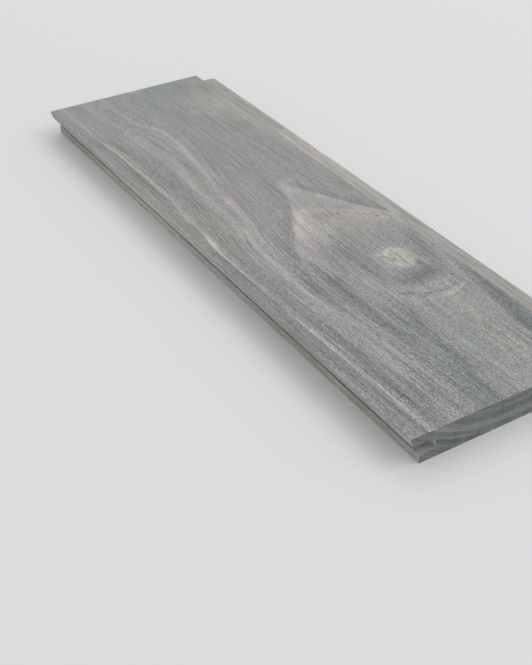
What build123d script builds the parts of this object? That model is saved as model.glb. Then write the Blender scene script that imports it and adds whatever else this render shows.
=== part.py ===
from build123d import *
import os

# A tongue-and-groove wood siding board, one machined piece, lying on its back with its face up.
# X runs across the board from the groove to the tongue, Y along the grain and Z up from the back.
# The origin is on the back, midway between the upper lip's arris and the tongue's tip.

# Driving dimensions, in millimetres
length = 457.2  # a sample cut square at both ends
face_width = 130.2  # exposed face, from the lip's arris to the shoulder's arris
thickness = 19.05

# Tongue
tongue_reach = 16.9  # from the shoulder's arris to the tongue's tip
tongue_root = 7.5  # thickness at the shoulders
upper_cheek_drop = 0.3  # how far the tongue's upper cheek falls towards its tip
lower_cheek_rise = 0.9  # how far its lower cheek rises towards its tip
upper_lip = 5.8  # thickness of the wood over the groove, at its nose
shoulder_lean = 1.9  # how far the upper shoulder stands out at the tongue, past its arris
back_shoulder = 6.3  # how far the body reaches under the tongue, past the shoulder's arris

# Room that the groove leaves round the next board's tongue
cheek_clearance = 0.12
tip_clearance = 0.4
back_clearance = 0.5

# Eased edges
face_ease = 0.5
back_ease = 0.5
tip_ease = 0.5
groove_root_ease = 0.4
nose_ease = 0.4

pick_tolerance = 0.01  # how near a corner lies to the X that it is picked by

# Worked out from the above
overall_width = face_width + tongue_reach
groove_arris = -overall_width / 2
tongue_arris = groove_arris + face_width
tongue_top = thickness - upper_lip - cheek_clearance
tongue_bottom = tongue_top - tongue_root


def edge_points(arris, cheek_room=0.0, tip_room=0.0, back_room=0.0):
    """The board's edge from its back up to its face: lower shoulder, tongue and leaning upper shoulder.

    With room round the tongue, the same points are the wall of the groove that takes it.
    """
    body_x = arris + back_shoulder + back_room
    tip_x = arris + tongue_reach + tip_room
    return [
        (body_x, 0),
        (body_x, tongue_bottom - cheek_room),
        (tip_x, tongue_bottom + lower_cheek_rise - cheek_room),
        (tip_x, tongue_top - upper_cheek_drop + cheek_room),
        (arris + shoulder_lean, tongue_top + cheek_room),
        (arris, thickness),
    ]


with BuildPart() as board:
    with BuildSketch(Plane.XZ) as section:
        with BuildLine():
            groove_edge = Polyline(
                *edge_points(groove_arris, cheek_clearance, tip_clearance, back_clearance)
            )
            tongue_edge = Polyline(*edge_points(tongue_arris))
            Line(groove_edge @ 0, tongue_edge @ 0)
            Line(groove_edge @ 1, tongue_edge @ 1)
        make_face()

        # The arrises of the face and of the back are eased by the moulder
        fillet(section.vertices().group_by(Axis.Y)[-1], face_ease)
        fillet(section.vertices().group_by(Axis.Y)[0], back_ease)

        # The tongue's tip is rounded so that it starts easily, and the cutter leaves the groove's corners round
        fillet(section.vertices().group_by(Axis.X)[-1], tip_ease)
        groove_back = groove_arris + tongue_reach + tip_clearance
        fillet(
            section.vertices().filter_by_position(
                Axis.X, groove_back - pick_tolerance, groove_back + pick_tolerance
            ),
            groove_root_ease,
        )

        # The upper lip's nose closes first, and its inner corner is eased
        nose_x = groove_arris + shoulder_lean
        fillet(
            section.vertices().filter_by_position(
                Axis.X, nose_x - pick_tolerance, nose_x + pick_tolerance
            ),
            nose_ease,
        )
    extrude(amount=length / 2, both=True)

board.part.label = "board"
os.makedirs("parts", exist_ok=True)
export_step(board.part, "parts/board.step")
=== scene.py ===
"""A tongue-and-groove siding board with a grey weathering stain, lying face up on a pale floor.

Lengths in the finishes are millimetres, measured as a joiner would on the board itself: x from the
groove side's arris across the face, y along the grain from the near end, z up from the back.
"""

import logging
import math
from dataclasses import dataclass
from enum import Enum
from typing import Iterable, Optional, Sequence, Union

import bpy
from mathutils import Matrix, Vector


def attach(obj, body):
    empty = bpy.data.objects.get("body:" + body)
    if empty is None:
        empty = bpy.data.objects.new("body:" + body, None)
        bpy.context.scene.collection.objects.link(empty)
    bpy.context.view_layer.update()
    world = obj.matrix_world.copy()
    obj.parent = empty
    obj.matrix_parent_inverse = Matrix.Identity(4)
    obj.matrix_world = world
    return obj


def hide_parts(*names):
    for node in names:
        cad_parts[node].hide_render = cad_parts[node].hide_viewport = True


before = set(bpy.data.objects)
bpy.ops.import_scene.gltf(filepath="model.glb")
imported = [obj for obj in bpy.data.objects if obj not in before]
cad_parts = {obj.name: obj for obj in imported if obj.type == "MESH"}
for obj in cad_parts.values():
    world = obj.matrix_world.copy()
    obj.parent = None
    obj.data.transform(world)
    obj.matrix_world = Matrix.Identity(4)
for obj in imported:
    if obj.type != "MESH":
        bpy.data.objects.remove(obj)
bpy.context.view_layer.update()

LOG = logging.getLogger("siding_board")

MM = 0.001
FULL_LEVEL = 255.0
DISPLAY_POWER = 2.4  # how a level follows from light, as a display has it
DISPLAY_TOE = 0.055
SEED_STRIDE = (17.3, 5.9, 11.1)  # how far apart two seeds lie in the noise
WARM = (0.33, 0.06, -0.6)  # what a level of warmth adds to red, green and blue
BLUSH = (0.36, -0.36, 0.18)
BOARD_NODE = "board"
BODY = "root"

Number = Union[float, "Wire"]
Key = Union[int, str]


# Node trees


class Wire:
    """A value on its way between nodes. Arithmetic on it adds Math nodes to its tree."""

    def __init__(self, bench: "Bench", socket: bpy.types.NodeSocket) -> None:
        """Wraps an output socket.

        Args:
            bench: The tree that the socket is in.
            socket: The output socket.
        """
        self.bench = bench
        self.socket = socket

    def __add__(self, other: Number) -> "Wire":
        """Adds."""
        return self.bench.math("ADD", self, other)

    __radd__ = __add__

    def __sub__(self, other: Number) -> "Wire":
        """Subtracts the other from this."""
        return self.bench.math("SUBTRACT", self, other)

    def __rsub__(self, other: Number) -> "Wire":
        """Subtracts this from the other."""
        return self.bench.math("SUBTRACT", other, self)

    def __mul__(self, other: Number) -> "Wire":
        """Multiplies."""
        return self.bench.math("MULTIPLY", self, other)

    __rmul__ = __mul__

    def __truediv__(self, other: Number) -> "Wire":
        """Divides this by the other."""
        return self.bench.math("DIVIDE", self, other)

    def __rtruediv__(self, other: Number) -> "Wire":
        """Divides the other by this."""
        return self.bench.math("DIVIDE", other, self)

    def __neg__(self) -> "Wire":
        """Turns the sign."""
        return self.bench.math("MULTIPLY", self, -1.0)

    def __abs__(self) -> "Wire":
        """The size of the value."""
        return self.bench.math("ABSOLUTE", self)


class Bench:
    """A node tree under construction, for a material or for geometry."""

    def __init__(self, tree: bpy.types.NodeTree) -> None:
        """Takes a tree and empties it.

        Args:
            tree: The tree to fill.
        """
        self.tree = tree
        tree.nodes.clear()

    @staticmethod
    def pick(sockets: Iterable[bpy.types.NodeSocket], key: Key) -> bpy.types.NodeSocket:
        """Finds a socket by its place, its identifier or its name.

        Args:
            sockets: A node's inputs or outputs.
            key: The place, identifier or name.

        Returns:
            The socket.
        """
        if isinstance(key, int):
            return sockets[key]
        for socket in sockets:
            if socket.identifier == key:
                return socket
        for socket in sockets:
            if socket.name == key and socket.enabled:
                return socket
        raise KeyError(key)

    def node(
        self,
        kind: str,
        settings: Optional[dict[str, object]] = None,
        values: Optional[dict[Key, object]] = None,
    ) -> bpy.types.Node:
        """Adds a node.

        Args:
            kind: The node's type.
            settings: Its own settings, set before its sockets.
            values: A number, tuple, datablock or wire for each input that is named.

        Returns:
            The new node.
        """
        node = self.tree.nodes.new(kind)
        for name, value in (settings or {}).items():
            setattr(node, name, value)
        for key, value in (values or {}).items():
            socket = self.pick(node.inputs, key)
            if isinstance(value, Wire):
                self.tree.links.new(value.socket, socket)
            else:
                socket.default_value = value
        return node

    def wire(
        self,
        kind: str,
        settings: Optional[dict[str, object]] = None,
        values: Optional[dict[Key, object]] = None,
        output: Key = 0,
    ) -> Wire:
        """Adds a node and gives one of its outputs.

        Args:
            kind: The node's type.
            settings: Its own settings.
            values: Its inputs.
            output: Which output.

        Returns:
            The output, as a wire.
        """
        node = self.node(kind, settings, values)
        return Wire(self, self.pick(node.outputs, output))

    def math(self, operation: str, *values: Number) -> Wire:
        """Adds a Math node.

        Args:
            operation: What it does.
            values: Its inputs, in order.

        Returns:
            The result.
        """
        return self.wire("ShaderNodeMath", {"operation": operation}, dict(enumerate(values)))

    def vector_math(self, operation: str, *values: object) -> Wire:
        """Adds a Vector Math node.

        Args:
            operation: What it does.
            values: Its inputs, in order.

        Returns:
            The result.
        """
        return self.wire("ShaderNodeVectorMath", {"operation": operation}, dict(enumerate(values)))

    def dot(self, vector: Wire, other: tuple[float, float, float]) -> Wire:
        """The dot product of a vector and a fixed one."""
        return self.wire(
            "ShaderNodeVectorMath", {"operation": "DOT_PRODUCT"}, {0: vector, 1: other}, "Value"
        )

    def tint(self, share: Wire, tone: Union["Tone", Wire], ground: Optional[Wire] = None) -> Wire:
        """Adds a tone to a ground.

        Args:
            share: How much of the tone there is.
            tone: The tone, or levels already worked out.
            ground: What it is added to, in levels, if anything.

        Returns:
            The sum, in levels.
        """
        part = self.wire(
            "ShaderNodeVectorMath",
            {"operation": "SCALE"},
            {0: tone if isinstance(tone, Wire) else tone.levels(), "Scale": share},
        )
        return part if ground is None else self.vector_math("ADD", ground, part)

    def combine(self, x: Number, y: Number, z: Number) -> Wire:
        """Joins three values to a vector."""
        return self.wire("ShaderNodeCombineXYZ", None, {0: x, 1: y, 2: z})

    def split(self, vector: Wire) -> tuple[Wire, Wire, Wire]:
        """Parts a vector into its three values."""
        node = self.node("ShaderNodeSeparateXYZ", None, {0: vector})
        return tuple(Wire(self, socket) for socket in node.outputs)

    def ease(self, value: Number, start: float, end: float, low: float = 0.0, high: float = 1.0) -> Wire:
        """Goes smoothly from one value to another, and stays there outside its limits.

        Args:
            value: What drives it.
            start: Where it leaves the low value.
            end: Where it reaches the high value.
            low: The value at the start.
            high: The value at the end.

        Returns:
            The eased value.
        """
        if start > end:
            start, end, low, high = end, start, high, low
        return self.wire(
            "ShaderNodeMapRange",
            {"interpolation_type": "SMOOTHSTEP", "clamp": False},
            {"Value": value, "From Min": start, "From Max": end, "To Min": low, "To Max": high},
        )

    def curve(self, value: Number, stops: Sequence[tuple[float, float]]) -> Wire:
        """Runs a value through a smooth curve.

        Args:
            value: What drives it.
            stops: Pairs of the driving value and the result, in rising order.

        Returns:
            The curve's result.
        """
        first, last = stops[0][0], stops[-1][0]
        results = [result for _, result in stops]
        low, high = min(results), max(results)
        reach = (high - low) or 1.0
        place = [((at - first) / (last - first), (result - low) / reach) for at, result in stops]
        node = self.node("ShaderNodeFloatCurve", None, {"Value": (value - first) * (1 / (last - first))})
        points = node.mapping.curves[0].points
        points[0].location, points[-1].location = place[0], place[-1]
        for at, result in place[1:-1]:
            points.new(at, result)
        for point in points:
            point.handle_type = "AUTO_CLAMPED"
        node.mapping.update()
        return Wire(self, node.outputs[0]) * reach + low


@dataclass(frozen=True)
class Grain:
    """Noise about zero that is drawn out along the axes."""

    size: tuple[float, float, float]  # how long its blotches are along each axis, in millimetres
    seed: int
    strength: float = 1.0  # how much it changes, in levels or in millimetres
    relief: float = 0.0  # how far it stands out, as a share of the finish's relief
    detail: float = 2.0  # how many finer layers it has
    roughness: float = 0.5  # how strong they are

    def lay(self, bench: Bench, place: Wire) -> Wire:
        """Lays the noise.

        Args:
            bench: The tree.
            place: Where to read it, in millimetres.

        Returns:
            The noise, between about -1 and 1.
        """
        moved = bench.wire(
            "ShaderNodeMapping",
            None,
            {
                "Vector": place,
                "Location": tuple(self.seed * stride for stride in SEED_STRIDE),
                "Scale": tuple(1 / size for size in self.size),
            },
        )
        value = bench.wire(
            "ShaderNodeTexNoise",
            {"noise_dimensions": "3D", "normalize": True},
            {"Vector": moved, "Scale": 1.0, "Detail": self.detail, "Roughness": self.roughness},
        )
        return value * 2.0 - 1.0

    def change(self, bench: Bench, place: Wire) -> Wire:
        """Lays the noise at its strength."""
        return self.lay(bench, place) * self.strength


def mix(*layers: tuple[Grain, Wire]) -> tuple[Wire, Wire]:
    """Sums layers of noise.

    Args:
        layers: For each, how it is laid and the noise itself.

    Returns:
        Their sum at their strengths, and at their reliefs.
    """
    change = sum(noise * grain.strength for grain, noise in layers)
    height = sum(noise * grain.relief for grain, noise in layers)
    return change, height


# The figure of the face


@dataclass(frozen=True)
class Tone:
    """A change of colour, in levels of 255 as the eye sees them.

    Lift is lighter, warm is yellower and blush is redder; each may be negative.
    """

    lift: float = 0.0
    warm: float = 0.0
    blush: float = 0.0

    def levels(self) -> tuple[float, float, float]:
        """The change of red, green and blue."""
        return tuple(
            self.lift + warm * self.warm + blush * self.blush for warm, blush in zip(WARM, BLUSH)
        )


@dataclass(frozen=True)
class Streak:
    """A band that runs along the board, soft or sharp on either side."""

    stops: tuple[tuple[float, float, float], ...]  # y, the x of its line, and its share there
    rise: float  # how far from its line it fades out towards the groove side
    fade: float  # and towards the tongue side
    tone: Tone

    def mask(self, bench: Bench, flat: Wire) -> Wire:
        """How strongly the streak shows at a place.

        Args:
            bench: The tree.
            flat: The place on the face, as a vector with a height of one.

        Returns:
            Its share, from 0 up.
        """
        x, y, _ = bench.split(flat)
        off = x - bench.curve(y, [(at, line) for at, line, _ in self.stops])
        share = bench.curve(y, [(at, share) for at, _, share in self.stops])
        return bench.ease(off, -self.rise, 0.0) * bench.ease(off, self.fade, 0.0) * share


@dataclass(frozen=True)
class Patch:
    """A soft spot on the face."""

    x: float
    y: float
    half_width: float
    half_length: float
    tone: Tone
    turn: float = 0.0  # degrees, leaning its far end towards the groove side
    core: float = 0.0  # how much of it keeps the whole tone

    def mask(self, bench: Bench, flat: Wire) -> Wire:
        """How strongly the patch shows at a place.

        Args:
            bench: The tree.
            flat: The place on the face, as a vector with a height of one.

        Returns:
            Its share, from 0 to 1.
        """
        turn = math.radians(self.turn)
        wide = (math.cos(turn) / self.half_width, math.sin(turn) / self.half_width)
        long = (-math.sin(turn) / self.half_length, math.cos(turn) / self.half_length)
        sides = [
            bench.dot(flat, (across, along, -across * self.x - along * self.y))
            for across, along in (wide, long)
        ]
        off = bench.math("SQRT", bench.math("MULTIPLY_ADD", sides[0], sides[0], sides[1] * sides[1]))
        return bench.ease(off, 1.0, self.core)


def make_patches(*rows: tuple[float, ...]) -> tuple[Patch, ...]:
    """Makes patches from rows of numbers.

    Args:
        rows: For each, x, y, half width, half length, its tone's lift, warm and blush, its turn and its
            core, as far as the last one that isn't zero.

    Returns:
        The patches, in the same order.
    """
    return tuple(Patch(*row[:4], Tone(*row[4:7]), *row[7:]) for row in rows)


@dataclass(frozen=True)
class Figure:
    """Where the grain runs on the face, and the tones that the stain brought out in it."""

    # Lines that the fibres follow, as y and x, from the groove side to the tongue side
    flow: tuple[tuple[tuple[float, float], ...], ...] = (
        ((-10, -6), (470, -6)),
        (
            (0, 13.2), (50, 11.6), (110, 9.6), (180, 8.2), (205, 8), (235, 10.8), (265, 11.6),
            (282, 13.4), (350, 13.5), (385, 11.6), (420, 10), (457, 9.8),
        ),
        (
            (0, 31), (90, 29), (150, 25), (180, 23.5), (225, 30), (270, 32.5), (330, 40), (370, 37),
            (430, 31), (457, 29),
        ),
        (
            (0, 45), (60, 41), (112, 37), (150, 33), (190, 34), (230, 43), (290, 51), (335, 58),
            (370, 60), (395, 57.5), (430, 51), (457, 47),
        ),
        ((-10, 95), (470, 95)),
        ((-10, 150), (470, 150)),
    )
    flow_widths: tuple[float, ...] = (19, 18, 14, 50, 55)

    streaks: tuple[Streak, ...] = (
        # Pale line near the groove side, the darker edge beside it and the ground past it
        Streak(
            (
                (0, 13.2, 0.9), (30, 12.5, 0.9), (50, 11.6, 0.85), (70, 11.2, 0.85), (90, 10.5, 0.85),
                (110, 9.6, 0.8), (140, 9, 0.5), (160, 8.5, 0.45), (180, 8.2, 0.5), (195, 8, 0.6),
                (205, 8, 1), (216, 9, 1.4), (226, 10, 1), (235, 10.8, 0.75), (250, 10.6, 1),
                (265, 11.6, 1), (280, 13.2, 0.5), (295, 13.6, 0.6), (310, 13.2, 0.65), (335, 13.3, 0.75),
                (352, 13.4, 0.85), (368, 13, 0.85), (380, 11.9, 0.8), (390, 11.2, 0.5), (410, 10.3, 0.4),
                (457, 9.8, 0.35),
            ),
            1.8, 3.2, Tone(23, 5),
        ),
        Streak(
            (
                (0, 11.2, 0.9), (50, 9.8, 0.9), (100, 8.2, 0.9), (140, 7.4, 1.1), (180, 6.8, 1),
                (205, 6.2, 0.9), (218, 6.4, 0.4), (235, 9, 0.9), (262, 9.8, 0.5), (280, 11.4, 0.45),
                (300, 12, 0.9), (350, 11.6, 0.8), (378, 10, 0.9), (395, 9, 0.5), (430, 8.5, 0.1),
                (457, 8, 0),
            ),
            11, 1.8, Tone(-16, 2),
        ),
        Streak(
            (
                (0, 20, 0.9), (40, 19, 1), (80, 18, 0.9), (115, 17, 0.9), (150, 17, 1), (190, 14.5, 0.9),
                (215, 16, 0.6), (240, 19, 0.4), (270, 21, 0.7), (300, 23, 0.5), (330, 23, 0.8),
                (350, 21, 0.7), (380, 18, 1), (400, 17, 0), (430, 20, 0.3), (457, 19, 0.5),
            ),
            6, 8, Tone(-10),
        ),
        # The second pale band, in two strands that meet beside the knot
        Streak(
            (
                (0, 32.5, 0.9), (40, 32, 0.9), (70, 31, 0.7), (95, 32, 0.4), (110, 30, 0.6),
                (130, 31, 0.85), (150, 31, 0.9), (170, 30.5, 1.1), (190, 31, 1.1), (210, 34, 1.1),
                (225, 35, 0.9), (240, 34, 0.7), (255, 34, 0.8), (270, 34.5, 0.9), (290, 36, 0.9),
                (302, 37, 1.2), (320, 40, 1), (345, 40.5, 0.6), (355, 38, 0.8), (378, 35.5, 1),
                (395, 33, 0.5), (410, 31, 0.2), (457, 28, 0.5),
            ),
            6.5, 6.5, Tone(13, 3),
        ),
        Streak(
            (
                (0, 41.5, 0.6), (30, 41.5, 0.85), (60, 40.5, 0.75), (75, 40, 0.4), (95, 39, 0.1),
                (150, 36, 0), (190, 38, 0.3), (215, 41, 0.7), (235, 44, 1.1), (250, 46, 1),
                (262, 47.5, 0.9), (275, 48, 0.6), (288, 49.5, 0.7), (300, 52, 1.05), (320, 54.5, 1.1),
                (335, 56.5, 1.15), (352, 58, 1.1), (372, 58, 0.95), (386, 56, 0.9), (393, 51, 0.6),
                (402, 47, 0.5), (425, 44.5, 0.45), (445, 42, 0.4), (457, 41, 0.3),
            ),
            6, 3.6, Tone(16, 3, 0.5),
        ),
        Streak(((0, 36.8, 0.8), (60, 36, 0.8), (85, 35, 0), (457, 35, 0)), 2.5, 2.5, Tone(-8)),
        Streak(
            (
                (0, 27, 0), (240, 26, 0), (258, 26.5, 0.7), (290, 29, 1), (310, 31.2, 1), (335, 31, 0.9),
                (355, 30, 0), (457, 26, 0),
            ),
            4, 4, Tone(-9, -1),
        ),
        # Dark ground between the second band and the eye, which ends sharply at the eye
        Streak(
            (
                (0, 48, 0.7), (60, 48, 0.6), (85, 50, 0.5), (100, 51, 0.7), (115, 49, 0.95),
                (130, 48, 1.1), (145, 47, 1), (158, 48, 0.7), (175, 48.5, 0.6), (190, 51, 0.5),
                (200, 54.5, 0.5), (212, 63, 0.5), (222, 70.5, 0.5), (235, 77, 0.4), (250, 81, 0.3),
                (270, 86, 0), (457, 80, 0),
            ),
            12, 4, Tone(-13, -2, -1),
        ),
        Streak(
            (
                (0, 62, 0.8), (12, 61.5, 0.9), (25, 63, 1), (45, 66, 1.1), (65, 67, 1), (80, 67.5, 1),
                (88, 70, 0.8), (97, 66, 0.4), (107, 60, 0.4), (120, 54, 0.3), (140, 52, 0), (457, 50, 0),
            ),
            15, 3, Tone(-16, -5, -3),
        ),
        Streak(
            (
                (0, 52, 0.9), (50, 53, 1.4), (90, 53, 1.4), (112, 52, 0.9), (135, 52, 1), (152, 56, 0),
                (457, 56, 0),
            ),
            8, 6, Tone(-11, -3, -2),
        ),
        # The eye: its pale outer limb, sharp on the groove side, and the warmer one inside it
        Streak(
            (
                (0, 43, 0), (150, 43, 0), (163, 45.5, 0.5), (175, 48.8, 0.85), (185, 52, 1),
                (192, 55.5, 1), (200, 60.5, 1), (212, 67, 1.1), (222, 73.8, 1.1), (235, 80.2, 0.9),
                (250, 84.4, 0.9), (262, 88.5, 0.9), (270, 91, 0), (457, 91, 0),
            ),
            1.6, 17, Tone(15, 2, 3),
        ),
        Streak(
            (
                (0, 60, 0), (165, 56, 0), (180, 57, 0.6), (190, 59, 1), (200, 62.5, 1.1), (208, 67, 1.2),
                (216, 73, 1), (222, 78, 0.5), (228, 82, 0), (457, 82, 0),
            ),
            2.5, 20, Tone(10, 5, 2),
        ),
        # Its far side: the pale wedge, sharp against the brown one beside it, and the inner edge
        Streak(
            (
                (0, 134, 0), (160, 134, 0), (175, 133, 0.7), (190, 129.3, 0.9), (200, 123, 1),
                (211, 116, 1), (222.6, 110, 1), (235, 103.6, 1), (248, 96.3, 1), (258, 92.8, 0.8),
                (267, 91, 0), (457, 91, 0),
            ),
            13, 1.5, Tone(13, 1, 2),
        ),
        Streak(
            (
                (0, 132, 0), (165, 131, 0), (180, 127, 0.5), (190.6, 121.7, 1), (202, 113.6, 1.1),
                (212, 102.7, 1.1), (219.3, 91.4, 1.1), (225, 82, 0.9), (228, 76, 0.5), (232, 72, 0),
                (457, 72, 0),
            ),
            26, 3, Tone(9, 4, 3),
        ),
        Streak(
            (
                (0, 136, 0), (175, 136, 0), (190, 131, 0.9), (200, 124.4, 1.1), (211, 118, 1),
                (222.6, 112, 0.7), (235, 105.6, 0.6), (248, 98.4, 0.45), (260, 94.6, 0.2), (275, 93, 0),
                (457, 93, 0),
            ),
            1.8, 13, Tone(-17, 5, 1),
        ),
        # Pale ground on the groove side of the knot
        Streak(
            (
                (0, 78, 0.7), (40, 77, 0.5), (60, 77, 0.6), (80, 78, 0.9), (90, 78, 0.9), (105, 74, 0.8),
                (120, 70.5, 0.9), (130, 67, 1), (140, 62.5, 0.8), (150, 59, 0.8), (165, 57, 0.7),
                (175, 57, 0), (457, 57, 0),
            ),
            7, 8, Tone(9),
        ),
        # The tongue side
        Streak(
            (
                (0, 115, 0.6), (35, 116.5, 0.9), (50, 118, 1.15), (70, 120, 1.05), (90, 122.5, 0.8),
                (110, 125, 0.5), (130, 127, 0.35), (150, 129, 0.3), (175, 131, 0), (457, 131, 0),
            ),
            2.2, 30, Tone(-22, -5, -3),
        ),
        Streak(
            (
                (0, 129, 0), (255, 129, 0), (275, 128.5, 0.5), (320, 128, 0.6), (345, 127.5, 0.8),
                (375, 126, 1), (400, 126, 0.8), (430, 128, 0.4), (457, 129, 0),
            ),
            4, 4, Tone(8, 4),
        ),
    )

    patches: tuple[Patch, ...] = make_patches(
        # Far end
        (72, 455, 12, 6, 9, -2), (55, 452, 90, 42, 0, -4), (122, 447, 6, 9, 6),
        (29, 445, 9, 16, 4, -3, 2), (80, 441, 33, 27, -4, -4, -5), (107, 441, 13, 26, -6, -1, -1),
        (90, 437, 9, 12, -1, 1, -4), (60, 431, 9, 12, -1, -1, 4), (112, 431, 8, 12, 2, 4, -4),
        (57, 430, 4, 24, 4), (122, 427, 7, 14, -4, 7, -3), (72, 420, 12, 16, -4, -3.5, -3),
        (114, 402, 23, 42, 9, 6, -1, 12), (22, 400, 12, 20, 4), (62.5, 397, 3.5, 16, 8),
        (118, 396, 7, 11, 8, 4, 0, -15), (28, 395, 9, 20, -6), (96, 393, 9, 9, 6, 5, 6),
        (82, 392, 7, 40, -6, 0, 1), (107, 386, 9, 8, 6, 4, 6), (126, 380, 8, 50, 3),
        (50.5, 376, 4, 12, 8), (20, 374, 6, 14, 1, 4, -1), (119, 370, 8, 13, 8, 3), (95, 365, 16, 30, -2),
        (62, 360, 3, 25, 5), (112, 357, 13, 13, -5, 5), (127, 350, 6, 70, 5, 3), (123, 345, 5, 50, 4),
        # Between the far end and the eye
        (111, 331, 6, 14, -3, -2, 7), (71, 330, 13, 60, -4), (19, 320, 7, 40, -1, 5, -1),
        (24, 314, 7, 8, -2, 6), (119, 311, 8, 15, -1, 6, -1), (24, 301, 8, 14, -8, -4, -4),
        (64, 300, 6, 30, -3), (84, 300, 10, 40, -4), (57, 296, 4, 16, 6), (79, 296, 8, 14, -5),
        (44, 294, 6, 16, 2, 8, -2), (115, 293, 8, 14, -6, -3, 5), (26, 286, 7, 8, 1, -1, 5),
        (33, 284, 4, 18, -9), (60, 284, 6, 14, 2, 0, 6, -18), (33, 268, 4, 14, -6),
        (53, 266, 6, 14, 5, 1, 6, -10), (80, 266, 8, 20, -6),
        # Across the eye
        (125, 260, 6, 12, 2, 7, 3), (46, 257, 5, 9, 7, 2, 5), (93, 256, 4, 8, -7), (13, 255, 8, 10, 8, 2),
        (105, 255, 5, 8, 7), (128, 255, 6, 100, 0, 3), (126, 241, 6, 10, -5, 5, 5),
        (20, 236, 9, 34, -1, 6, -1), (96, 236, 10, 14, 3, 4, -1), (9, 230, 5, 14, 7),
        (94, 228, 15, 16, 8, 3, 1), (118, 226, 6, 9, 5), (18, 225, 14, 60, 0, 3), (112, 224, 5, 9, 7),
        (29, 222, 6, 22, 6, 1), (11, 218, 5, 9, 8, 2), (98, 217, 18, 11, 6, 1, 1, -30),
        (81, 211, 6, 8, 7, 4, -1), (90, 203, 11, 10, 9, 4, -1), (112, 201, 14, 8, 8, 3, 2, -35),
        (77, 198, 16, 18, 11, 5, 1, 12), (90, 197, 9, 7, 6), (45, 195, 8, 35, -1, -2, 4),
        (92, 192, 38, 16, 9, 4), (71, 183, 9, 9, 6, 1), (1.5, 180, 4, 14, -4, -2, 5),
        (69, 180, 9, 10, 6, 2, 1), (100, 180, 26, 12, 3, 4),
        # Beside the knot
        (75, 163, 20, 23, -12, -1, 1, 8), (123, 158, 8, 14, -7, -2, 5), (18, 152, 7, 18, -5, -2, 3),
        (61, 150, 7, 10, -9), (129, 150, 4, 26, 9, 3), (13, 148, 8, 30, -5),
        (79, 143, 12, 22, -10, -5, -2), (37, 141, 7.5, 42, -20, -1), (53, 140, 6, 16, -9),
        (118, 140, 9, 28, -14, -2, 0, -5), (116, 137, 6, 14, -5), (14, 125, 7, 36, -8),
        (78, 125, 10, 16, -5, -3), (125, 122, 6, 22, 8, -1, 2, -12), (111, 121, 6, 8, -7),
        (84, 120, 5, 8, -6, -1), (109, 120, 14, 14, -17, -3, 1), (94, 119, 17, 13, -18, -4, 1),
        (98, 116, 20, 9, -8), (2, 112, 5, 52, -8),
        # Below the knot
        (86, 107, 14, 7, 6, 0, 0, -45), (102, 106, 16, 7, 6, 1), (40, 104, 5, 9, -1, 1, 5),
        (33, 101, 7, 10, 3, 4, -2), (112, 101, 5, 8, 7, 6, 0, -30), (103, 95, 13, 4.5, 12, 8),
        (60, 92, 6, 20, -6), (129, 85, 5, 38, -7), (64, 84, 9, 14, -3, -4, -2),
        (101, 75, 8, 24, 6, 7, -1), (115, 75, 8, 26, 3, 0, 1), (72, 66, 24, 60, -6), (20, 62, 14, 16, -6),
        (20, 60, 5, 60, -4), (72, 52, 5, 14, 1, -1, 4), (117, 52, 6, 18, -9),
        # Near end
        (80, 47, 11, 18, 1, -5, -3), (97, 42, 9, 24, 4, 6, -1), (7, 40, 10, 60, -4),
        (70, 35, 7, 20, -12, -3, -1), (28, 32, 5, 34, -11, -2), (69, 29, 5, 9, -8, -1),
        (103, 27, 7, 13, 6, 3), (32, 24, 46, 46, -7, -2), (34, 18, 13, 42, -6, -2), (99, 15, 5, 9, -9, 1),
        (99, 13, 5, 8, -9), (63, 12, 8, 10, -9, -1), (57, 2, 28, 6, -4, -2),
    )

    # Short dark checks, resin pits and thin arcs near the knot
    pits: tuple[Patch, ...] = make_patches(
        (99.2, 207.4, 2.2, 2, -45, 2, 0, 40), (113, 198.5, 14, 1.3, -26, 0, 2, -36),
        (119.5, 191.2, 2.6, 1.8, -32, 2, 0, -30), (105.5, 202.3, 6, 1.4, 14, 2, 2, -26),
        (115.8, 108.8, 2, 2.2, -44, 2), (81, 106.3, 7.5, 1.4, -28, 0, 0, -42),
        (91.5, 100.3, 7.5, 1.3, -31, 1, 0, -16), (102, 98.2, 7.5, 1.3, -32, 1, 0, -6),
        (111.5, 100.7, 6.5, 1.3, -30, 1, 0, 37), (116.2, 106, 1.3, 5, -16, 1),
        (80, 99.5, 8, 1.7, 14, 2, 0, -42), (90, 94.8, 8.5, 1.6, 19, 3, 0, -12),
        (102, 93.2, 8.5, 1.6, 17, 5), (113.5, 96.3, 8.5, 1.7, 17, 5, 0, 27), (41.5, 60, 1, 20, -26),
        (40, 36, 0.9, 14, -22), (43.5, 54, 0.9, 12, 16, 2), (38.8, 82, 0.9, 13, -16),
    )

    # The knot: a pale resinous heart with a dark check, in a grey ring
    heart: tuple[Patch, ...] = make_patches(
        (100.3, 142.5, 16.5, 21, 9, 0, 1, 0, 0.35), (100.6, 142, 11.2, 14.6, 16, 12, -3, 0, 0.72),
        (105.5, 146.5, 5.5, 7.5, 9, 3, 0, -20, 0.4), (94, 151.5, 6, 5.5, 13, 6, -1, 20, 0.4),
        (94.6, 134.5, 4.2, 5.2, 8, 3, -1, -25, 0.4), (96, 142, 3.6, 3.4, -20, 1, 0, 30),
        (101.5, 145.5, 3.4, 3.6, -20, 0, -1), (98, 148, 2, 2, -18, 1), (100.4, 137, 1.4, 8, -30, 1, 1, 6),
        (102.5, 144.5, 1.3, 6, -16, 1, 1, -24), (107.5, 130.5, 3.6, 4.4, -20, -5, 1, 20),
    )

    quick_sway: Grain = Grain((4.2, 30.0, 12.0), 7, 0.9, roughness=0.6)
    fine_sway: Grain = Grain((1.3, 9.0, 4.0), 11, 0.4, roughness=0.6)
    batch: int = 8  # marks that are worked out together
    trace: float = 1e-7  # millimetres that a batch moves the next by, for each level

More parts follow.
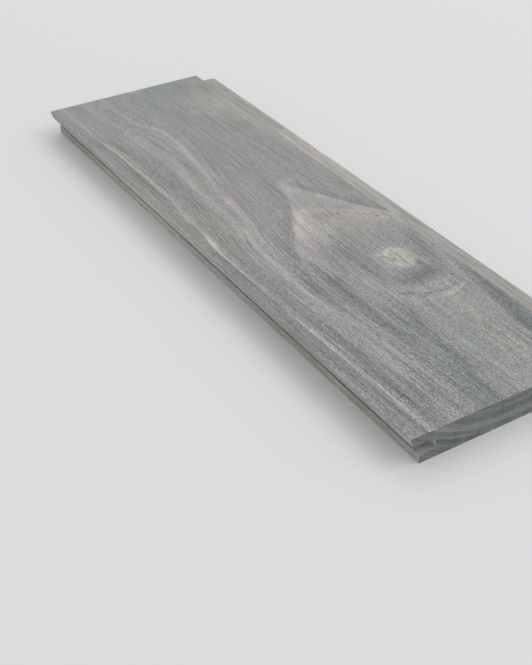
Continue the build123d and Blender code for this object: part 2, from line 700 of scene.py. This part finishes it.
    def sway(self, bench: Bench, spot: Wire) -> Wire:
        """How far the fibres carry a mark sideways, in millimetres.

        Args:
            bench: The tree.
            spot: The place on the board.

        Returns:
            The sideways shift.
        """
        return self.quick_sway.change(bench, spot) + self.fine_sway.change(bench, spot)

    def across(self, bench: Bench, x: Number, y: Number) -> Wire:
        """The distance across the fibres, counted along their flow instead of straight across.

        Args:
            bench: The tree.
            x: Place across the face.
            y: Place along it.

        Returns:
            The distance, in millimetres.
        """
        total: Number = 0.0
        lines = [bench.curve(y, line) for line in self.flow]
        for width, near, far in zip(self.flow_widths, lines, lines[1:]):
            part = bench.wire(
                "ShaderNodeMapRange",
                {"interpolation_type": "LINEAR"},
                {"Value": x, "From Min": near, "From Max": far, "To Min": 0.0, "To Max": width},
            )
            total = part + total
        return total

    def paint(self, bench: Bench, spot: Wire) -> Wire:
        """Lays all the marks over each other.

        Each batch is placed with a trace of the batch before it, far too small to show, so that the
        renderer works them out in turn and never holds them all at once.

        Args:
            bench: The tree.
            spot: The place on the board.

        Returns:
            Their sum, in levels of red, green and blue.
        """
        x, y, _ = bench.split(spot)
        flat = bench.combine(x + self.sway(bench, spot), y, 1.0)
        total = None
        marks = self.streaks + self.patches + self.pits + self.heart
        for start in range(0, len(marks), self.batch):
            if total is not None:
                flat = bench.vector_math("MULTIPLY_ADD", total, (self.trace,) * 3, flat)
            for mark in marks[start:start + self.batch]:
                total = bench.tint(mark.mask(bench, flat), mark.tone, total)
        return total


# Finishes


@dataclass(frozen=True)
class Stain:
    """The grey stain, and how its levels become the wood's own colour under the studio's light."""

    gain: float = 1.117  # what a surface has to send back to be seen as white
    specular: float = 0.25

    def colour(self, bench: Bench, levels: Wire) -> Wire:
        """Turns levels of 255 into a colour.

        Args:
            bench: The tree.
            levels: Red, green and blue levels.

        Returns:
            The colour.
        """
        gain = self.gain ** (1 / DISPLAY_POWER) / (1 + DISPLAY_TOE)
        scaled = bench.vector_math(
            "MULTIPLY_ADD", levels, (gain / FULL_LEVEL,) * 3, (gain * DISPLAY_TOE,) * 3
        )
        return bench.wire("ShaderNodeGamma", None, {"Color": scaled, "Gamma": DISPLAY_POWER})

    def surface(self, bench: Bench, levels: Wire, roughness: Number, height: Wire, depth: float) -> None:
        """Ends the tree in a matte wood surface.

        Args:
            bench: The tree.
            levels: Its red, green and blue levels.
            roughness: Its roughness.
            height: Its fine relief, about zero.
            depth: How deep the relief is for a height of one, in millimetres.
        """
        bump = bench.wire(
            "ShaderNodeBump",
            None,
            {"Strength": 1.0, "Distance": depth * MM, "Height": height},
        )
        shader = bench.wire(
            "ShaderNodeBsdfPrincipled",
            None,
            {
                "Base Color": self.colour(bench, levels),
                "Roughness": roughness,
                "Specular IOR Level": self.specular,
                "Normal": bump,
            },
        )
        bench.node("ShaderNodeOutputMaterial", None, {"Surface": shader})


def new_material(name: str) -> tuple[bpy.types.Material, Bench]:
    """Makes an empty material.

    Args:
        name: Its name.

    Returns:
        The material and its tree.
    """
    material = bpy.data.materials.new(name)
    material.use_nodes = True
    return material, Bench(material.node_tree)


def board_place(bench: Bench, sizes: "BoardSizes") -> Wire:
    """The place on the board in millimetres, from its groove arris, its near end and its back.

    Args:
        bench: The tree.
        sizes: The board's sizes.

    Returns:
        The place.
    """
    place = bench.wire("ShaderNodeTexCoord", None, None, "Object")
    return bench.wire(
        "ShaderNodeMapping",
        None,
        {
            "Vector": place,
            "Location": (-sizes.groove_arris, sizes.length / 2, 0.0),
            "Scale": (1 / MM,) * 3,
        },
    )


@dataclass(frozen=True)
class Finish:
    """Stained wood, on one kind of surface."""

    name: str
    ground: tuple[float, float, float]  # levels of red, green and blue
    roughness: float = 0.8
    polish: float = 0.04  # how much smoother the raised fibres are
    relief: float = 0.1  # how far they stand out, in millimetres
    stain: Stain = Stain()

    def wood(self, bench: Bench, spot: Wire) -> tuple[Wire, Wire, Wire]:
        """Works out the wood at a place.

        Args:
            bench: The material's tree.
            spot: The place on the board, in millimetres.

        Returns:
            Its levels, its raised fibres and its fine relief, the last two about zero.
        """
        raise NotImplementedError

    def material(self, sizes: "BoardSizes") -> bpy.types.Material:
        """Makes the material.

        Args:
            sizes: The board's sizes.

        Returns:
            The material.
        """
        material, bench = new_material(self.name)
        levels, fibres, height = self.wood(bench, board_place(bench, sizes))
        self.stain.surface(bench, levels, self.roughness - fibres * self.polish, height, self.relief)
        return material


@dataclass(frozen=True)
class FaceFinish(Finish):
    """The planed and stained face."""

    name: str = "stained_wood_face"
    ground: tuple[float, float, float] = (150.5, 150.3, 149.7)
    roughness: float = 0.78
    polish: float = 0.05
    figure: Figure = Figure()
    strand: Grain = Grain((2.2, 90.0, 1.0), 24, 0.9, roughness=0.6)  # breaks up the marks
    long_fibre: Grain = Grain((0.6, 55.0, 1.0), 21, 42.0, 0.5, roughness=0.55)
    short_fibre: Grain = Grain((0.55, 2.6, 1.0), 23, 38.0, 0.4, detail=1.0, roughness=0.6)
    felt: Grain = Grain((0.5, 0.8, 1.0), 31, 46.0, 0.6, detail=1.0, roughness=0.6)
    dark_line: Grain = Grain((0.65, 42.0, 1.0), 25, 26.0, 0.4, detail=1.0)
    line_edge: tuple[float, float] = (0.22, 0.55)  # the noise where a line starts and where it is full
    dash: Grain = Grain((0.6, 4.0, 1.0), 33, 18.0, 0.5, detail=1.0)
    dash_edge: tuple[float, float] = (0.30, 0.62)
    row: float = 1.2  # levels of the planer's rows
    row_pitch: float = 2.6
    row_relief: float = 0.06
    row_sway: Grain = Grain((9.0, 3.0, 4.0), 34, 0.8, detail=1.0)
    fibre_share: tuple[tuple[float, float], ...] = ((0, 1.3), (130, 1.25), (260, 1.0), (457, 0.65))
    felt_share: tuple[tuple[float, float], ...] = (
        (0, 1.9), (130, 1.8), (260, 1.5), (380, 0.95), (457, 0.75),
    )
    calm_from: float = 45.0  # the x where the fibres start to weaken towards the tongue side
    calm_to: float = 75.0
    calm_share: float = 0.8

    def wood(self, bench: Bench, spot: Wire) -> tuple[Wire, Wire, Wire]:
        """The face, with the figure under its fine fibres."""
        levels = self.figure.paint(bench, spot)
        x, y, _ = bench.split(spot)
        along = bench.combine(self.figure.across(bench, x, y), y, 0.0)
        levels = bench.tint(self.strand.change(bench, along) + 1.0, levels)

        # Fine fibres along the board, stronger near the groove side and the near end
        long = self.long_fibre.lay(bench, along)
        fibres, height = mix(
            (self.long_fibre, long),
            (self.short_fibre, self.short_fibre.lay(bench, along)),
            (self.dark_line, -bench.ease(self.dark_line.lay(bench, along), *self.line_edge)),
            (self.dash, -bench.ease(self.dash.lay(bench, spot), *self.dash_edge)),
        )
        felt = self.felt.lay(bench, spot)
        row = bench.math("SINE", (y + self.row_sway.change(bench, spot)) * (math.tau / self.row_pitch))
        side = bench.ease(x, self.calm_from, self.calm_to, 1.0, self.calm_share)
        change = (
            fibres * bench.curve(y, self.fibre_share) * side
            + felt * bench.curve(y, self.felt_share) * self.felt.strength
            + row * self.row
        )
        levels = bench.vector_math("ADD", levels, self.ground)
        levels = bench.tint(change, Tone(1), levels)
        return levels, long, height + felt * self.felt.relief + row * self.row_relief


@dataclass(frozen=True)
class EndFinish(Finish):
    """A sawn end: the growth rings cut across, and darker, as end grain takes up more stain."""

    name: str = "stained_wood_end"
    ground: tuple[float, float, float] = (115.0, 118.8, 119.8)
    roughness: float = 0.86
    relief: float = 0.12
    pith_x: float = 70.0
    pith_z: float = 118.0
    ring_sway: Grain = Grain((9.0, 20.0, 9.0), 41, 0.8)
    rings: tuple[tuple[float, float], ...] = (
        (96, 0), (99, 7), (101.5, -9), (104, 4), (107, -7), (110, 0), (112.8, 15), (115.5, -6),
        (117.5, 5), (120, -15), (122.5, 5), (126, -8), (130, 9), (135, -10), (141, 7), (148, -7),
        (156, 0),
    )
    fine_ring: Grain = Grain((0.8, 2.0, 1.0), 42, 40.0, 0.3, roughness=0.7)
    fine_drift: float = 0.12  # how fast a fine ring changes along itself
    felt: Grain = Grain((0.6, 1.0, 0.6), 43, 34.0, 0.3, roughness=0.7)
    blotch: Grain = Grain((12.0, 20.0, 7.0), 44, 8.0, detail=1.0)
    saw: Grain = Grain((0.5, 20.0, 9.0), 45, 18.0, 0.6, roughness=0.6)
    tone: Tone = Tone(1.0, 0.1)
    cast: Grain = Grain((10.0, 20.0, 3.5), 46, 6.0, detail=1.0)  # how its colour wanders
    cast_tone: Tone = Tone(0.0, 1.0, 1.0)

    def wood(self, bench: Bench, spot: Wire) -> tuple[Wire, Wire, Wire]:
        """The rings, with their fine ones, the felt of cut fibres and the marks of the saw."""
        x, _, z = bench.split(spot)
        dx, dz = x - self.pith_x, z - self.pith_z
        radius = bench.math("SQRT", dx * dx + dz * dz) + self.ring_sway.change(bench, spot)
        saw = self.saw.lay(bench, spot)
        change, height = mix(
            (self.fine_ring, self.fine_ring.lay(bench, bench.combine(radius, x * self.fine_drift, 0.0))),
            (self.felt, self.felt.lay(bench, spot)),
            (self.saw, saw),
        )
        change = change + bench.curve(radius, self.rings) + self.blotch.change(bench, spot)
        levels = bench.tint(change, self.tone)
        levels = bench.tint(self.cast.change(bench, spot), self.cast_tone, levels)
        return bench.vector_math("ADD", levels, self.ground), saw, height


@dataclass(frozen=True)
class EdgeFinish(Finish):
    """The milled tongue and groove, where the stain lies thinner."""

    name: str = "stained_wood_edge"
    ground: tuple[float, float, float] = (163.4, 161.8, 159.0)
    relief: float = 0.08
    lift: tuple[tuple[float, float], ...] = (
        (0, -5), (60, -7), (90, -6), (150, -2), (225, 3), (300, 10.5), (350, 4), (390, -1), (420, -3),
        (457.2, -1),
    )
    warmth: tuple[tuple[float, float], ...] = (
        (0, 0), (90, 2), (160, 0), (240, 1), (320, 5), (430, -1), (457.2, -2),
    )
    band: Grain = Grain((3.2, 110.0, 4.0), 51, 24.0, roughness=0.6)
    fibre: Grain = Grain((0.8, 20.0, 0.8), 52, 42.0, 0.6, roughness=0.6)
    felt: Grain = Grain((0.7, 1.4, 0.7), 53, 26.0, 0.3, detail=1.0, roughness=0.6)

    def wood(self, bench: Bench, spot: Wire) -> tuple[Wire, Wire, Wire]:
        """The milled edge, with its lighter stretches and its fibres."""
        _, y, _ = bench.split(spot)
        fibre = self.fibre.lay(bench, spot)
        change, height = mix((self.fibre, fibre), (self.felt, self.felt.lay(bench, spot)))
        change = change + bench.curve(y, self.lift) + self.band.change(bench, spot)
        levels = bench.tint(change, Tone(1))
        levels = bench.tint(bench.curve(y, self.warmth), Tone(0, 1), levels)
        return bench.vector_math("ADD", levels, self.ground), fibre, height


@dataclass(frozen=True)
class BackFinish(Finish):
    """The planed back, with one thin coat."""

    name: str = "stained_wood_back"
    ground: tuple[float, float, float] = (158.0, 156.0, 151.0)
    wander: Grain = Grain((30.0, 140.0, 30.0), 61, 9.0)  # carries the bands sideways
    band: Grain = Grain((7.0, 220.0, 1.0), 62, 14.0, roughness=0.6)
    fibre: Grain = Grain((0.9, 14.0, 1.0), 63, 6.0, 0.6, detail=3.0, roughness=0.65)
    felt: Grain = Grain((0.6, 1.1, 1.0), 64, 4.0, 0.3, roughness=0.7)
    row: float = 1.5  # levels of the planer's rows
    row_pitch: float = 3.1
    row_relief: float = 0.1
    tone: Tone = Tone(1.0, 0.1)

    def wood(self, bench: Bench, spot: Wire) -> tuple[Wire, Wire, Wire]:
        """The back, with its bands, its fibres and the planer's rows."""
        x, y, _ = bench.split(spot)
        sway = self.wander.lay(bench, spot)
        bands = self.band.change(bench, bench.combine(x + sway * self.wander.strength, y, 0.0))
        fibre = self.fibre.lay(bench, spot)
        change, height = mix((self.fibre, fibre), (self.felt, self.felt.lay(bench, spot)))
        row = bench.math("SINE", (y + sway) * (math.tau / self.row_pitch))
        levels = bench.tint(bands + change + row * self.row, self.tone)
        levels = bench.vector_math("ADD", levels, self.ground)
        return levels, fibre, height + row * self.row_relief


# The board


class Zone(Enum):
    """The surfaces of the board that are finished differently."""

    EDGE = "edge"
    FACE = "face"
    BACK = "back"
    END = "end"


@dataclass(frozen=True)
class BoardSizes:
    """The board's sizes, in millimetres."""

    length: float = 457.2
    face_width: float = 130.2
    thickness: float = 19.05
    tongue_reach: float = 16.9
    tongue_root: float = 7.5
    upper_lip: float = 5.8
    upper_cheek_drop: float = 0.3
    lower_cheek_rise: float = 0.9
    shoulder_lean: float = 1.9
    back_shoulder: float = 6.3
    cheek_room: float = 0.12
    tip_room: float = 0.4
    back_room: float = 0.5
    ease: float = 0.5
    groove_ease: float = 0.4

    @property
    def groove_arris(self) -> float:
        """Where the face starts."""
        return -(self.face_width + self.tongue_reach) / 2

    @property
    def tongue_arris(self) -> float:
        """Where the face ends."""
        return self.groove_arris + self.face_width

    @property
    def tongue_top(self) -> float:
        """The height of the tongue's upper cheek at its root."""
        return self.thickness - self.upper_lip - self.cheek_room

    @property
    def tongue_bottom(self) -> float:
        """The height of its lower cheek at its root."""
        return self.tongue_top - self.tongue_root


@dataclass(frozen=True)
class Corner:
    """A corner of the section, and the way on from it."""

    x: float
    z: float
    ease: float
    pitch: float  # spacing of the points between this corner and the next


@dataclass
class SidingBoard:
    """The board, swept along the grain from its milled section."""

    sizes: BoardSizes = BoardSizes()
    face_pitch: float = 0.62
    edge_pitch: float = 1.6
    back_pitch: float = 5.0
    step: float = 2.0
    ease_turns: int = 5
    relief: float = 0.06
    relief_fade: float = 5.0
    line_width: float = 2.6  # of the raised grain
    line_length: float = 40.0
    worn_from: float = 0.3  # the noise where the soft wood starts to be worn in, and where it is fully
    worn_to: float = 0.7
    arris_drop: float = 0.02  # how far under the face the raised grain ends
    line_detail: float = 2.0
    line_roughness: float = 0.6
    seed: int = 7
    seed_shift: tuple[float, float] = (13.7, 3.1)
    flat: float = 0.4  # how far up or down a face of the mesh looks to be the board's face or back
    square: float = 0.7  # and how far along the grain to be an end
    skin: float = 0.05  # and how near the surface it lies, as a share of the thickness
    crease: float = 28.0  # degrees

    def corners(self) -> list[Corner]:
        """Lists the section's corners, from the groove arris over the face and round the back.

        Returns:
            The corners, in order.
        """
        s = self.sizes
        left, right = s.groove_arris, s.tongue_arris
        face, edge, back = self.face_pitch, self.edge_pitch, self.back_pitch
        groove_back = left + s.tongue_reach + s.tip_room
        lip_end = left + s.back_shoulder + s.back_room
        tip, foot = right + s.tongue_reach, right + s.back_shoulder
        return [
            Corner(left, s.thickness, s.ease, face),
            Corner(right, s.thickness, s.ease, edge),
            Corner(right + s.shoulder_lean, s.tongue_top, 0.0, edge),
            Corner(tip, s.tongue_top - s.upper_cheek_drop, s.ease, edge),
            Corner(tip, s.tongue_bottom + s.lower_cheek_rise, s.ease, edge),
            Corner(foot, s.tongue_bottom, 0.0, edge),
            Corner(foot, 0.0, s.ease, back),
            Corner(lip_end, 0.0, s.ease, edge),
            Corner(lip_end, s.tongue_bottom - s.cheek_room, 0.0, edge),
            Corner(groove_back, s.tongue_bottom + s.lower_cheek_rise - s.cheek_room, s.groove_ease, edge),
            Corner(groove_back, s.tongue_top - s.upper_cheek_drop + s.cheek_room, s.groove_ease, edge),
            Corner(left + s.shoulder_lean, s.tongue_top + s.cheek_room, s.groove_ease, edge),
        ]

    def eased(self, before: Corner, corner: Corner, after: Corner) -> list[Vector]:
        """Rounds a corner of the section.

        Args:
            before: The corner before it.
            corner: The corner.
            after: The corner after it.

        Returns:
            The points of its arc, or the corner itself where it is sharp.
        """
        here = Vector((corner.x, corner.z))
        if not corner.ease:
            return [here]
        back = (Vector((before.x, before.z)) - here).normalized()
        on = (Vector((after.x, after.z)) - here).normalized()
        half = back.angle(on) / 2
        centre = here + (back + on).normalized() * (corner.ease / math.sin(half))
        first = here + back * (corner.ease / math.tan(half)) - centre
        sweep = back.cross(on)
        turn = math.copysign(math.pi - 2 * half, -sweep)
        return [
            centre + Matrix.Rotation(turn * k / self.ease_turns, 2) @ first
            for k in range(self.ease_turns + 1)
        ]

    def outline(self) -> list[Vector]:
        """Rounds the corners and spaces points closely along the runs between them.

        Returns:
            The points of the section, in order.
        """
        corners = self.corners()
        count = len(corners)
        arcs = [
            self.eased(corners[k - 1], corners[k], corners[(k + 1) % count]) for k in range(count)
        ]
        points: list[Vector] = []
        for k, corner in enumerate(corners):
            start, end = arcs[k][-1], arcs[(k + 1) % count][0]
            points += arcs[k]
            runs = max(1, round((end - start).length / corner.pitch))
            points += [start.lerp(end, n / runs) for n in range(1, runs)]
        return points

    def section_mesh(self) -> bpy.types.Mesh:
        """Draws the section as a closed loop of edges, its width along X and its height along -Y.

        Returns:
            The mesh of the loop.
        """
        points = self.outline()
        mesh = bpy.data.meshes.new("board_section")
        mesh.from_pydata(
            [(p.x * MM, -p.y * MM, 0.0) for p in points],
            [(k, (k + 1) % len(points)) for k in range(len(points))],
            [],
        )
        return mesh

    def sweep_tree(self, finishes: dict[Zone, bpy.types.Material]) -> bpy.types.NodeTree:
        """Builds the tree that sweeps the section along the grain and wears its face.

        Args:
            finishes: The material of each zone.

        Returns:
            The geometry tree.
        """
        tree = bpy.data.node_groups.new("milled_board", "GeometryNodeTree")
        sides = tree.interface
        sides.new_socket("Section", in_out="INPUT", socket_type="NodeSocketGeometry")
        for name in ("Length", "Step", "Face Height", "Relief", "Relief Fade"):
            sides.new_socket(name, in_out="INPUT", socket_type="NodeSocketFloat")
        sides.new_socket("Seed", in_out="INPUT", socket_type="NodeSocketInt")
        sides.new_socket("Board", in_out="OUTPUT", socket_type="NodeSocketGeometry")
        bench = Bench(tree)
        given = bench.node("NodeGroupInput")
        length, step, height, relief, fade, seed = (
            Wire(bench, given.outputs[name])
            for name in ("Length", "Step", "Face Height", "Relief", "Relief Fade", "Seed")
        )

        # The sweep
        section = Wire(bench, given.outputs["Section"])
        profile = bench.wire("GeometryNodeMeshToCurve", None, {"Mesh": section})
        line = bench.wire(
            "GeometryNodeCurvePrimitiveLine",
            {"mode": "POINTS"},
            {"Start": bench.combine(0.0, length * -0.5, 0.0), "End": bench.combine(0.0, length * 0.5, 0.0)},
        )
        path = bench.wire(
            "GeometryNodeResampleCurve",
            None,
            {"Curve": line, "Count": bench.math("ROUND", length / step) + 1.0},
        )
        solid = bench.wire(
            "GeometryNodeCurveToMesh",
            None,
            {"Curve": path, "Profile Curve": profile, "Fill Caps": True},
        )

        # The raised grain: the soft wood between the hard lines is worn in a little
        place = bench.wire("GeometryNodeInputPosition")
        _, y, z = bench.split(place)
        from_end = length * 0.5 - abs(y)
        near_end = bench.ease(from_end / fade, 0.0, 1.0)
        on_face = bench.ease((height - z) / MM, self.arris_drop, 0.0)
        drawn = bench.vector_math(
            "MULTIPLY_ADD",
            place,
            (1 / (self.line_width * MM), 1 / (self.line_length * MM), 0.0),
            bench.combine(seed * self.seed_shift[0], seed * self.seed_shift[1], 0.0),
        )
        grain = bench.wire(
            "ShaderNodeTexNoise",
            {"noise_dimensions": "3D", "normalize": True},
            {
                "Vector": drawn,
                "Scale": 1.0,
                "Detail": self.line_detail,
                "Roughness": self.line_roughness,
            },
        )
        depth = bench.ease(grain, self.worn_from, self.worn_to) * near_end * on_face * relief
        worn = bench.wire(
            "GeometryNodeSetPosition",
            None,
            {"Geometry": solid, "Offset": bench.combine(0.0, 0.0, -depth)},
        )

        # The finishes
        normal = bench.wire("GeometryNodeInputNormal")
        _, ny, nz = bench.split(normal)
        chosen = {
            Zone.FACE: bench.math("GREATER_THAN", nz, self.flat)
            * bench.math("GREATER_THAN", z, height * (1 - self.skin)),
            Zone.BACK: bench.math("LESS_THAN", nz, -self.flat)
            * bench.math("LESS_THAN", z, height * self.skin),
            Zone.END: bench.math("GREATER_THAN", abs(ny), self.square),
        }
        whole = bench.wire("GeometryNodeRealizeInstances", None, {"Geometry": worn})
        finished = bench.wire(
            "GeometryNodeSetMaterial", None, {"Geometry": whole, "Material": finishes[Zone.EDGE]}
        )
        for zone, selection in chosen.items():
            finished = bench.wire(
                "GeometryNodeSetMaterial",
                None,
                {"Geometry": finished, "Selection": selection, "Material": finishes[zone]},
            )
        bench.node("NodeGroupOutput", None, {"Board": finished})
        return tree

    def build(self, finishes: dict[Zone, bpy.types.Material]) -> bpy.types.Object:
        """Makes the board as a plain mesh.

        Args:
            finishes: The material of each zone.

        Returns:
            The board.
        """
        board = bpy.data.objects.new("siding_board", self.section_mesh())
        bpy.context.collection.objects.link(board)
        sweep = board.modifiers.new("sweep", "NODES")
        sweep.node_group = self.sweep_tree(finishes)
        given = {
            "Length": self.sizes.length * MM,
            "Step": self.step * MM,
            "Face Height": self.sizes.thickness * MM,
            "Relief": self.relief * MM,
            "Relief Fade": self.relief_fade * MM,
            "Seed": self.seed,
        }
        for item in sweep.node_group.interface.items_tree:
            if item.name in given:
                sweep[item.identifier] = given[item.name]
        shaped = board.evaluated_get(bpy.context.evaluated_depsgraph_get())
        section = board.data
        board.data = bpy.data.meshes.new_from_object(shaped)
        board.modifiers.remove(sweep)
        bpy.data.meshes.remove(section)
        board.data.name = "siding_board"
        board.data.polygons.foreach_set("use_smooth", [True] * len(board.data.polygons))
        board.data.set_sharp_from_angle(angle=math.radians(self.crease))
        return board


# The studio


@dataclass(frozen=True)
class SoftLamp:
    """A large square lamp."""

    name: str
    place: tuple[float, float, float]
    aim: tuple[float, float, float]
    size: float
    power: float

    def build(self) -> bpy.types.Object:
        """Hangs the lamp.

        Returns:
            The lamp.
        """
        data = bpy.data.lights.new(self.name, "AREA")
        data.shape, data.size, data.energy = "SQUARE", self.size, self.power
        lamp = bpy.data.objects.new(self.name, data)
        bpy.context.collection.objects.link(lamp)
        place = Vector(self.place)
        way = (Vector(self.aim) - place).to_track_quat("-Z", "Y")
        lamp.matrix_world = Matrix.Translation(place) @ way.to_matrix().to_4x4()
        return lamp


@dataclass(frozen=True)
class Studio:
    """A pale floor under a soft sky of light, with two large lamps on the tongue side."""

    floor_half: float = 6.0
    floor_tone: tuple[float, float, float] = (0.84, 0.84, 0.84)
    floor_roughness: float = 0.9
    floor_specular: float = 0.1
    sky: tuple[float, float, float] = (1.0, 1.0, 1.0)
    sky_strength: float = 0.70
    lamps: tuple[SoftLamp, ...] = (
        SoftLamp("front_lamp", (2.2, -1.6, 3.0), (0.0, 0.0, 0.0), 2.4, 25.0),
        SoftLamp("far_lamp", (1.4, 2.0, 2.6), (0.0, 0.0, 0.0), 2.0, 12.0),
    )

    def build(self) -> bpy.types.Object:
        """Makes the floor, the sky and the lamps.

        Returns:
            The floor.
        """
        half = self.floor_half
        mesh = bpy.data.meshes.new("floor")
        mesh.from_pydata(
            [(-half, -half, 0.0), (half, -half, 0.0), (half, half, 0.0), (-half, half, 0.0)],
            [],
            [(0, 1, 2, 3)],
        )
        floor = bpy.data.objects.new("floor", mesh)
        bpy.context.collection.objects.link(floor)
        material, bench = new_material("floor_paper")
        paper = bench.wire(
            "ShaderNodeBsdfPrincipled",
            None,
            {
                "Base Color": (*self.floor_tone, 1.0),
                "Roughness": self.floor_roughness,
                "Specular IOR Level": self.floor_specular,
            },
        )
        bench.node("ShaderNodeOutputMaterial", None, {"Surface": paper})
        mesh.materials.append(material)

        world = bpy.data.worlds.new("soft_sky")
        world.use_nodes = True
        air = Bench(world.node_tree)
        light = air.wire(
            "ShaderNodeBackground", None, {"Color": (*self.sky, 1.0), "Strength": self.sky_strength}
        )
        air.node("ShaderNodeOutputWorld", None, {"Surface": light})
        bpy.context.scene.world = world
        for lamp in self.lamps:
            lamp.build()
        return floor


@dataclass(frozen=True)
class Viewpoint:
    """The camera, above the near end and to the groove side."""

    place: tuple[float, float, float] = (-0.36418, -0.56122, 0.40209)
    forward: tuple[float, float, float] = (0.42536, 0.68948, -0.58625)
    up: tuple[float, float, float] = (0.31253, 0.49602, 0.81012)
    lens: float = 61.958
    sensor: float = 36.0
    clip: tuple[float, float] = (0.02, 50.0)

    def build(self) -> bpy.types.Object:
        """Sets the camera up.

        Returns:
            The camera.
        """
        data = bpy.data.cameras.new("camera")
        data.sensor_width, data.lens = self.sensor, self.lens
        data.clip_start, data.clip_end = self.clip
        camera = bpy.data.objects.new("camera", data)
        bpy.context.collection.objects.link(camera)
        ahead = Vector(self.forward).normalized()
        right = ahead.cross(Vector(self.up)).normalized()
        up = right.cross(ahead)
        turn = Matrix((right, up, -ahead)).transposed().to_4x4()
        camera.matrix_world = Matrix.Translation(self.place) @ turn
        bpy.context.scene.camera = camera
        return camera


def main() -> None:
    """Builds the studio and the board, in order."""
    logging.basicConfig(level=logging.INFO, format="%(name)s: %(message)s")
    Viewpoint().build()
    LOG.info("camera set")
    bpy.context.scene.view_settings.view_transform = "Standard"
    Studio().build()
    LOG.info("studio lit")

    sizes = BoardSizes()
    finishes = {
        Zone.FACE: FaceFinish().material(sizes),
        Zone.END: EndFinish().material(sizes),
        Zone.EDGE: EdgeFinish().material(sizes),
        Zone.BACK: BackFinish().material(sizes),
    }
    board = SidingBoard(sizes).build(finishes)
    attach(board, BODY)
    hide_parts(BOARD_NODE)
    LOG.info("%s: %d faces", board.name, len(board.data.polygons))


if __name__ == "__main__":
    main()
